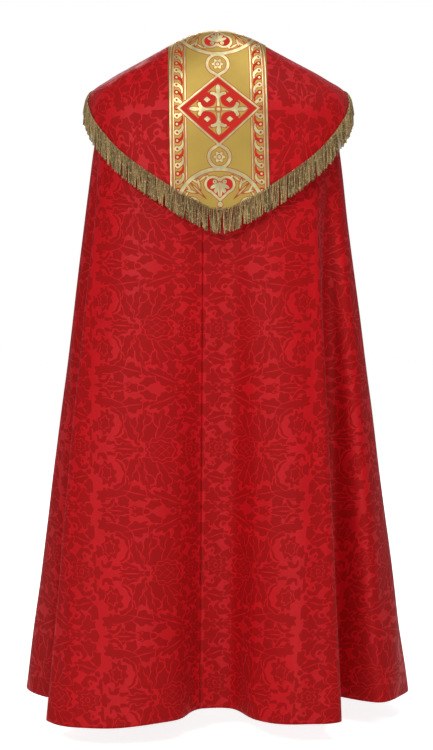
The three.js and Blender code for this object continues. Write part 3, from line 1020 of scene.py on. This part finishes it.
def cloth_piece(name, grid, flat, thickness, face, back):
    """A sheet of cloth whose outer face is a grid of points in millimetres.

    flat is each point's place on the flat cloth, for its weave. The wall grows inwards, and has the
    material back on its inner side.
    """
    rows, columns = grid.shape[0] - 1, grid.shape[1] - 1
    made = bmesh.new()
    bmesh.ops.create_grid(made, x_segments=columns, y_segments=rows, size=1)
    mesh = bpy.data.meshes.new(name)
    made.to_mesh(mesh)
    made.free()
    if len(mesh.vertices) != (rows + 1) * (columns + 1):
        raise RuntimeError(f"{name}: the grid has {len(mesh.vertices)} points")
    at = np.empty(len(mesh.vertices) * 3)
    mesh.vertices.foreach_get("co", at)
    at = at.reshape(-1, 3)
    column = np.rint((at[:, 0] + 1) / 2 * columns).astype(int)
    row = np.rint((at[:, 1] + 1) / 2 * rows).astype(int)
    mesh.vertices.foreach_set("co", (grid[row, column] * MM).ravel())
    corner = np.empty(len(mesh.loops), int)
    mesh.loops.foreach_get("vertex_index", corner)
    uv = mesh.uv_layers.new(name="Cloth")
    uv.data.foreach_set("uv", (flat[row, column] * MM)[corner].ravel())
    mesh.polygons.foreach_set("use_smooth", np.ones(len(mesh.polygons), bool))
    mesh.update()
    mesh.materials.append(face)
    mesh.materials.append(back)
    piece = link(mesh, name)
    wall = piece.modifiers.new("wall", "SOLIDIFY")
    wall.thickness = thickness
    wall.offset = -1
    wall.use_rim = True
    wall.use_even_offset = False
    wall.material_offset = 1
    wall.material_offset_rim = 0
    return piece


def run_lengths(grid, axis):
    """Lengths along the rows or columns of a grid, from its first point."""
    steps = np.linalg.norm(np.diff(grid, axis=axis), axis=-1)
    start = np.zeros_like(np.take(steps, [0], axis=axis))
    return np.concatenate([start, np.cumsum(steps, axis=axis)], axis=axis)


def smooth_step(low, high, at):
    """0 up to low and 1 from high, with a smooth rise between them."""
    t = np.clip((np.asarray(at, float) - low) / (high - low), 0, 1)
    return t * t * (3 - 2 * t)


# ---- the cloak ---------------------------------------------------------------------------------------

def cope_rows():
    """Shares down the cloak, closer together near the neck."""
    rows = bpy.context.scene.cope_sizes.rows
    t = np.linspace(0, 1, rows + 1)
    return t - 0.06 * np.sin(2 * PI * t) / (2 * PI)


def down_cloth(downs, like):
    """Distances down the cloak at its rows, for a grid shaped like another."""
    return np.broadcast_to((downs * COPE_LENGTHS[-1])[:, None], like.shape)


def orphrey_shares(side, downs):
    """The share round at which the orphrey ends on a half, for each share down."""
    shares = side * (1 - np.arange(150) / 150)
    grid = on_cope(shares[None, :], np.asarray(downs)[:, None])
    lengths = run_lengths(grid, 1)
    turns = np.abs(hem_at(shares)[2])
    ends = []
    for row in lengths:
        wide = min(ORPHREY_WIDTH, np.interp(-ORPHREY_END_TURN, -turns, row))
        ends.append(np.interp(wide, row, shares))
    return np.array(ends)


def half_grid(side):
    """The outer face of one half and its place on the flat cloth, from the right to the left."""
    downs = cope_rows()
    shares = side * np.linspace(0, 1, HALF_COLUMNS + 1)
    grid = on_cope(shares[None, :], downs[:, None])
    # the seam is a hair's breadth open
    start = SEAM_GAP / np.maximum(np.linalg.norm(grid[:, 1] - grid[:, 0], axis=-1), 1e-6)
    grid[:, 0] += (grid[:, 1] - grid[:, 0]) * start[:, None]
    if side < 0:
        grid = grid[:, ::-1]
    round_at = run_lengths(grid, 1)
    if side < 0:
        round_at = round_at - round_at[:, -1:]
    down_at = down_cloth(downs, round_at)
    height = crease_height(round_at, down_at, CREASES)
    height = height + ripples(round_at, down_at) + fold_edges(side, round_at, down_at)
    from_seam = np.abs(round_at)
    sink = SEAM_SINK * np.exp(-((from_seam / SEAM_HALF_WIDTH) ** 2))
    height = height - sink * smooth_step(0, 60, down_at)
    # the cloth lies close where the hood, the neckband and the orphreys are sewn on it
    from_edge = np.abs(round_at).max(axis=1, keepdims=True) - from_seam
    past_orphrey = smooth_step(ORPHREY_WIDTH - 10, ORPHREY_WIDTH + 60, from_edge)
    height = np.where(height > 0, height * past_orphrey, height)
    height = height * smooth_step(20, 130, down_at)
    height = np.where(height > 0, height * smooth_step(330, 480, down_at), height)
    grid = grid + face_normals(grid) * height[..., None]
    # the hem hangs in slight waves
    grid[..., 2] += hem_wave(round_at) * smooth_step(0.93, 1.0, downs)[:, None]
    return grid, np.stack([round_at, down_at], axis=-1)


def fold_edges(side, round_at, down_at):
    """Crisper crests and deeper dips along the folds of one half, whose columns run at even shares."""
    total = np.zeros(round_at.shape)
    shares = np.linspace(min(side, 0), max(side, 0), round_at.shape[1])
    for name, half_width, height in FOLD_EDGES:
        share = HEM_SHARE[HEM_STEPS * FOLD_NAMES.index(name)]
        if share * side > 0:
            middle = np.array([np.interp(share, shares, row) for row in round_at])[:, None]
            edge = height * np.exp(-(((round_at - middle) / half_width) ** 2))
            total += edge * smooth_step(300, 700, down_at)
    return total


def ripples(round_at, down_at):
    """Low random swells of hanging cloth, stronger towards the hem."""
    dice = random.Random(11)
    total = np.zeros(round_at.shape)
    for _ in range(16):
        period = dice.uniform(70, 260)
        lean = dice.uniform(-0.22, 0.22)
        phase = dice.uniform(0, 2 * PI)
        height = dice.uniform(0.1, 0.42)
        fade = 0.35 + 0.65 * np.sin(down_at / dice.uniform(500, 900) + dice.uniform(0, 6)) ** 2
        total += height * fade * np.sin(2 * PI * (round_at - lean * down_at) / period + phase)
    return total * (0.45 - 0.55 * down_at / HEM_Z)


def hem_wave(round_at):
    """How far the hem rises and falls round it."""
    return 1.6 * np.sin(round_at / 61.0) + 0.9 * np.sin(round_at / 23.0 + 1.0)


def laid_on_front(side):
    """The grid of a front orphrey, moved out of the half it is sewn to."""
    downs = cope_rows()
    across = np.linspace(0, 1, ORPHREY_COLUMNS + 1)
    ends = orphrey_shares(side, downs)
    shares = ends[:, None] + (side - ends[:, None]) * across[None, :]
    if side < 0:
        shares = shares[:, ::-1]
    grid = on_cope(shares, np.broadcast_to(downs[:, None], shares.shape))
    from_first = run_lengths(grid, 1)
    from_edge = from_first if side < 0 else from_first[:, -1:] - from_first
    down_at = down_cloth(downs, from_edge)
    grid = grid + face_normals(grid) * (GAP + bpy.context.scene.cope_sizes.trim / MM)
    far = np.abs(on_cope_round(side, ends, downs))
    round_at = far[:, None] + (from_edge.max(axis=1, keepdims=True) - from_edge)
    grid[..., 2] += hem_wave(round_at * side) * smooth_step(0.93, 1.0, downs)[:, None]
    return grid, np.stack([side * (ORPHREY_WIDTH / 2 - from_edge), down_at], axis=-1)


def on_cope_round(side, ends, downs):
    """How far round from the seam each share of ends is."""
    shares = np.linspace(0, 1, 81)[None, :] * ends[:, None]
    grid = on_cope(shares, np.broadcast_to(downs[:, None], shares.shape))
    return run_lengths(grid, 1)[:, -1]


# ---- the hood ----------------------------------------------------------------------------------------

def hood_columns(wing, middle):
    """The hood's columns from its right end to its left: faces across a wing, and across its orphrey."""
    return np.concatenate([
        np.linspace(-2, -1, wing + 1)[:-1],
        np.linspace(-1, 1, middle + 1),
        np.linspace(1, 2, wing + 1)[1:],
    ])


def hood_grid(columns, rows, lift):
    """Points of the hood, lifted off it, with the place on its cloth, turn and share down of each."""
    column = np.asarray(columns, float)[None, :]
    row = np.asarray(rows, float)[:, None]
    turn, down = hood_at(np.broadcast_to(column, (row.size, column.size)), row)
    grid = on_hood(turn, down)
    way = face_normals(grid)
    flat = hood_flat(turn, down)
    height = crease_height(flat[..., 0], flat[..., 1], HOOD_CREASES)
    height = height * smooth_step(0.02, 0.2, down)
    return grid + way * (lift + height)[..., None], flat, turn, down


def hood_flat(turn, down):
    """Where a point of the hood lies on its cloth, which is cut as part of a ring."""
    length = down * HOOD_LENGTHS[-1]
    around = np.radians(turn * HOOD_OPENING)
    radius = HOOD_NECK_RADIUS + length
    return np.stack([radius * np.sin(around), radius * np.cos(around) - HOOD_NECK_RADIUS], axis=-1)


def hood_across(turn, down):
    """How far round the hood a point is from its middle, level with it."""
    steps = np.linspace(0, 1, 13)[:, None, None]
    line = on_hood(turn[None] * steps, down[None])
    return np.sign(turn) * np.linalg.norm(np.diff(line, axis=0), axis=-1).sum(axis=0)


# ---- the front ---------------------------------------------------------------------------------------

def front_share(height):
    """The share down the front edge at a height."""
    downs = np.linspace(0, 0.5, 400)
    heights = on_cope(np.ones(400), downs)[:, 2]
    return float(np.interp(-height, -heights, downs))


def front_row(across, down, out):
    """Points across the front at one share down, moved out, with the opening bridged."""
    near = np.array([down - 0.004, down, down + 0.004])[:, None]
    sides = []
    for low, high in ((-1.0, -0.55), (0.55, 1.0)):
        grid = on_cope(np.linspace(low, high, 260)[None, :], near)
        sides.append((grid + face_normals(grid) * out)[1])
    line = np.concatenate(sides)
    line = line[np.argsort(line[:, 0])]
    return np.stack([across, *(np.interp(across, line[:, 0], line[:, k]) for k in (1, 2))], axis=-1)


# ---- the fringe --------------------------------------------------------------------------------------

def unit(ways):
    return ways / np.linalg.norm(ways, axis=-1, keepdims=True)


def fringe_edge(count, lift):
    """Evenly spaced places along the hood's edge: point, slope down the hood, way out, turn, share down
    and distance along."""
    grid, _, turn, down = hood_grid(hood_columns(119, 79), np.array([0.97, 1.0]), lift)
    edge = grid[1]
    along = run_lengths(edge[None], 1)[0]
    margin = 1.2
    at = np.linspace(margin, along[-1] - margin, count)

    def read(values):
        return np.stack([np.interp(at, along, values[:, k]) for k in range(3)], axis=-1)

    slope = unit(read(unit(grid[1] - grid[0])))
    way = unit(read(face_normals(grid)[1]))
    return read(edge), slope, way, np.interp(at, along, turn[1]), np.interp(at, along, down[1]), at


def fringe_path(edge, slope, way, turn, down, length):
    """Points of the strands at one length from the hood's edge. By the shoulders they lie on it."""
    bend = FRINGE_STIFF * (1 - np.exp(-length / FRINGE_STIFF))
    drop = np.array([0, 0, -1.0])
    hung = edge + slope * bend[:, None] + drop * (length - bend)[:, None] + way * 1.5
    laid = on_hood(turn, down + length / HOOD_LENGTHS[-1]) + way * 1.5
    share = smooth_step(*FRINGE_LAID, np.abs(turn))[:, None]
    return hung + (laid - hung) * share


def clumped(at, dice):
    """How far each strand leans along the edge at its end, so that strands gather in little groups."""
    lean = np.zeros(len(at))
    first = 0
    while first < len(at):
        last = min(first + dice.randint(2, 6), len(at))
        middle = at[first:last].mean()
        lean[first:last] = (middle - at[first:last]) * dice.uniform(0.3, 0.75) + dice.uniform(-2.2, 2.2)
        first = last
    return lean


def mark_strands(mesh, lengths):
    """Gives each strand its own place on the cloth map: round it across, and its length along."""
    layer = mesh.uv_layers[0]
    layer.name = "Cloth"
    corner = np.empty(len(mesh.loops), int)
    mesh.loops.foreach_get("vertex_index", corner)
    strand = corner // (len(mesh.vertices) // len(lengths))
    uv = np.empty(len(mesh.loops) * 2)
    layer.data.foreach_get("uv", uv)
    uv = uv.reshape(-1, 2)
    across = uv[:, 1] * STRAND_GIRTH * MM + strand * STRAND_STEP * MM
    along = uv[:, 0] * np.array(lengths)[strand]
    layer.data.foreach_set("uv", np.stack([across, along], axis=-1).ravel())


# ---- operators, one for each piece or group of pieces ------------------------------------------------

class COPE_OT_halves(bpy.types.Operator):
    """Make the two halves of the cloak"""

    bl_idname = "cope.halves"
    bl_label = "Cloak halves"

    def execute(self, context):
        sizes = context.scene.cope_sizes
        face = damask_material("red damask", context.scene.cope_colours)
        back = lining_material(context.scene.cope_colours)
        for side, node, hem, area in (
            (RIGHT, "cope_right_half", 1.49, 1.48),
            (LEFT, "cope_left_half", 1.43, 1.41),
        ):
            grid, flat = half_grid(side)
            piece = cloth_piece(node.replace("cope_", "damask_"), grid, flat, sizes.wall, face, back)
            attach(piece, "root")
            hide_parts(node)
        return {"FINISHED"}


class COPE_OT_front_orphreys(bpy.types.Operator):
    """Make the woven bands down the front edges"""

    bl_idname = "cope.front_orphreys"
    bl_label = "Front orphreys"

    def execute(self, context):
        sizes = context.scene.cope_sizes
        face = brocade_material("woven orphrey", context.scene.cope_colours)
        for side, node, under in (
            (RIGHT, "front_orphrey_right", "damask_right_half"),
            (LEFT, "front_orphrey_left", "damask_left_half"),
        ):
            grid, flat = laid_on_front(side)
            piece = cloth_piece(node.replace("front_", "woven_"), grid, flat, sizes.trim, face, face)
            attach(piece, "root")
            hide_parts(node)
        return {"FINISHED"}


class COPE_OT_hood(bpy.types.Operator):
    """Make the hood"""

    bl_idname = "cope.hood"
    bl_label = "Hood"

    def execute(self, context):
        sizes = context.scene.cope_sizes
        columns = hood_columns(HOOD_WING_COLUMNS, HOOD_BAND_COLUMNS)
        grid, flat, _, _ = hood_grid(columns, np.linspace(0, 1, HOOD_ROWS + 1), 0.0)
        colours = context.scene.cope_colours
        face = damask_material("red damask of the hood", colours, upright=True, bloom=0.3)
        piece = cloth_piece("damask_hood", grid, flat, sizes.wall, face, bpy.data.materials["lining"])
        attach(piece, "root")
        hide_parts("hood")
        return {"FINISHED"}


class COPE_OT_hood_orphrey(bpy.types.Operator):
    """Make the woven band down the middle of the hood"""

    bl_idname = "cope.hood_orphrey"
    bl_label = "Hood orphrey"

    def execute(self, context):
        sizes = context.scene.cope_sizes
        columns = np.linspace(-1, 1, HOOD_BAND_COLUMNS + 1)
        rows = np.linspace(0, 1, HOOD_ROWS + 1)
        grid, _, turn, down = hood_grid(columns, rows, GAP + sizes.trim / MM)
        along = down * HOOD_LENGTHS[-1] - HOOD_DIAMOND_DOWN
        flat = np.stack([hood_across(turn, down), along], axis=-1)
        face = bpy.data.materials["woven orphrey"]
        piece = cloth_piece("woven_hood_orphrey", grid, flat, sizes.trim, face, face)
        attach(piece, "root")
        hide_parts("hood_orphrey")
        return {"FINISHED"}


class COPE_OT_fringe(bpy.types.Operator):
    """Make the fringe along the hood's edge"""

    bl_idname = "cope.fringe"
    bl_label = "Fringe"

    def execute(self, context):
        sizes = context.scene.cope_sizes
        face = fringe_material(context.scene.cope_colours)
        curve = bpy.data.curves.new("fringe strands", "CURVE")
        curve.dimensions = "3D"
        curve.bevel_depth = sizes.strand / 2
        curve.bevel_resolution = 1
        curve.use_fill_caps = True
        dice = random.Random(5)
        edge, slope, way, turn, down, at = fringe_edge(STRANDS, 0.2)  # just clear of the cloth
        along = unit(np.gradient(edge, axis=0))
        strand_lengths = []
        for layer in range(FRINGE_LAYERS):
            ends = np.array([sizes.fringe / MM * dice.uniform(0.86, 1.0) for _ in range(STRANDS)])
            sway = clumped(at, dice) + np.array([dice.uniform(-0.9, 0.9) for _ in range(STRANDS)])
            curl = np.array([dice.uniform(0, 2 * PI) for _ in range(STRANDS)])
            jump = np.array([dice.uniform(-1.2, 1.0) for _ in range(STRANDS)])
            points = []
            for step in np.linspace(STRAND_START, 1, STRAND_POINTS):
                path = fringe_path(edge, slope, way, turn, down, ends * step)
                hang = max(step, 0.0)
                path = path + way * (0.2 + 1.1 * layer + jump * hang)[:, None]
                path = path + along * (sway * hang**1.3 + 0.6 * np.sin(6 * step + curl))[:, None]
                path = path + way * (0.6 * np.sin(5 * step + curl) * hang)[:, None]
                points.append(path)
            strand_lengths.extend(ends * MM)
            for strand in np.stack(points, axis=1) * MM:
                line = curve.splines.new("POLY")
                line.points.add(STRAND_POINTS - 1)
                weighted = np.concatenate([strand, np.ones((STRAND_POINTS, 1))], axis=1)
                line.points.foreach_set("co", weighted.ravel())
        made = bpy.data.objects.new("fringe strands", curve)
        context.scene.collection.objects.link(made)
        depsgraph = context.evaluated_depsgraph_get()
        mesh = bpy.data.meshes.new_from_object(made.evaluated_get(depsgraph), depsgraph=depsgraph)
        bpy.data.objects.remove(made)
        mark_strands(mesh, strand_lengths)
        piece = link(mesh, "bullion_fringe")
        mesh.polygons.foreach_set("use_smooth", np.ones(len(mesh.polygons), bool))
        mesh.materials.clear()
        mesh.materials.append(face)
        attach(piece, "root")
        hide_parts("hood_fringe")
        return {"FINISHED"}


class COPE_OT_fastenings(bpy.types.Operator):
    """Make the neckband and the morse that closes the front"""

    bl_idname = "cope.fastenings"
    bl_label = "Neckband and morse"

    def execute(self, context):
        sizes = context.scene.cope_sizes
        columns, rows = NECKBAND_FACES
        downs = np.linspace(0, NECKBAND_DEPTH / COPE_LENGTHS[-1], rows + 1)
        grid = on_cope(np.linspace(-1, 1, columns + 1)[None, :], downs[:, None])
        grid = grid + face_normals(grid) * (-CLOTH - 2 * GAP)
        round_at = run_lengths(grid, 1)
        flat = np.stack([round_at, down_cloth(downs, round_at)], axis=-1)
        plain = bpy.data.materials["lining"]
        band_piece = cloth_piece("red_neckband", grid, flat, sizes.trim, plain, plain)
        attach(band_piece, "root")
        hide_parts("neckband")

        columns, rows = MORSE_FACES
        across = np.linspace(-MORSE_HALF_WIDTH, MORSE_HALF_WIDTH, columns + 1)
        heights = np.linspace(MORSE_TOP_Z, MORSE_BOTTOM_Z, rows + 1)
        out = GAP + TRIM_CLOTH + MORSE_STAND_OFF + MORSE_THICKNESS
        grid = np.stack([front_row(across, front_share(height), out) for height in heights])
        # columns run towards the wearer's right, so that the outer face looks out
        grid = grid[:, ::-1]
        round_at = run_lengths(grid, 1)
        down_at = run_lengths(grid, 0)
        middle, centre = columns // 2, rows // 2
        flat = np.stack([round_at - round_at[:, [middle]], down_at - down_at[[centre]]], axis=-1)
        face = brocade_material("woven morse", context.scene.cope_colours, size=MORSE_FIGURES)
        morse = cloth_piece("woven_morse", grid, flat, MORSE_THICKNESS * MM, face, plain)
        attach(morse, "root")
        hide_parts("morse_tab")
        return {"FINISHED"}


class COPE_OT_stage(bpy.types.Operator):
    """Make the floor, the lights and the camera"""

    bl_idname = "cope.stage"
    bl_label = "Stage"

    def execute(self, context):
        scene = context.scene
        made = bmesh.new()
        bmesh.ops.create_grid(made, x_segments=8, y_segments=8, size=FLOOR_HALF_WIDTH)
        bmesh.ops.translate(made, verts=made.verts, vec=(0, 0, (HEM_Z - FLOOR_DROP) * MM))
        mesh = bpy.data.meshes.new("pale_floor")
        made.to_mesh(mesh)
        made.free()
        floor = link(mesh, "pale_floor")
        mesh.materials.append(floor_material())

        for name, at, size, power in LAMPS:
            light = bpy.data.lights.new(name, "AREA")
            light.shape = "DISK"
            light.size = size
            light.energy = power
            lamp = bpy.data.objects.new(name, light)
            lamp.location = at
            aim = Vector(LAMPS_AIM) - lamp.location
            lamp.rotation_euler = aim.to_track_quat("-Z", "Y").to_euler()
            scene.collection.objects.link(lamp)

        world = bpy.data.worlds.new("pale room")
        world.use_nodes = True
        tree = world.node_tree
        background = tree.nodes["Background"]
        background.inputs["Color"].default_value = (1.0, 1.0, 1.0, 1)
        # the backdrop is paper white, and sends less light than it shows
        seen = make_node(tree, "LightPath", {}, "Is Camera Ray")
        feed(tree, background.inputs["Strength"], seen * (1.0 - ROOM_LIGHT) + ROOM_LIGHT)
        scene.world = world
        scene.view_settings.view_transform = "Standard"
        scene.view_settings.look = "None"
        scene.view_settings.exposure = 0
        scene.view_settings.gamma = 1

        lens = bpy.data.cameras.new("camera")
        lens.lens = CAMERA_LENS
        lens.sensor_width = 36
        lens.dof.use_dof = False
        camera = bpy.data.objects.new("camera", lens)
        camera.location = CAMERA_AT
        camera.rotation_euler = (math.radians(90 - CAMERA_DOWN), 0, math.radians(180))
        scene.collection.objects.link(camera)
        scene.camera = camera
        return {"FINISHED"}


OPERATORS = (
    COPE_OT_halves,
    COPE_OT_front_orphreys,
    COPE_OT_hood,
    COPE_OT_hood_orphrey,
    COPE_OT_fringe,
    COPE_OT_fastenings,
    COPE_OT_stage,
)


class COPE_PT_panel(bpy.types.Panel):
    """Lists the pieces of the cope"""

    bl_label = "Cope"
    bl_idname = "COPE_PT_panel"
    bl_space_type = "VIEW_3D"
    bl_region_type = "UI"
    bl_category = "Cope"

    def draw(self, context):
        layout = self.layout
        for group in (context.scene.cope_sizes, context.scene.cope_colours):
            for name in group.__annotations__:
                layout.prop(group, name)
        for operator in OPERATORS:
            layout.operator(operator.bl_idname)


CLASSES = (CopeSizes, CopeColours, *OPERATORS, COPE_PT_panel)


def register():
    for one in CLASSES:
        bpy.utils.register_class(one)
    bpy.types.Scene.cope_sizes = PointerProperty(type=CopeSizes)
    bpy.types.Scene.cope_colours = PointerProperty(type=CopeColours)


def unregister():
    del bpy.types.Scene.cope_colours
    del bpy.types.Scene.cope_sizes
    for one in reversed(CLASSES):
        bpy.utils.unregister_class(one)


def main():
    register()
    bpy.ops.cope.stage()
    bpy.ops.cope.halves()
    bpy.ops.cope.front_orphreys()
    bpy.ops.cope.hood()
    bpy.ops.cope.hood_orphrey()
    bpy.ops.cope.fringe()
    bpy.ops.cope.fastenings()


if __name__ == "__main__":
    main()
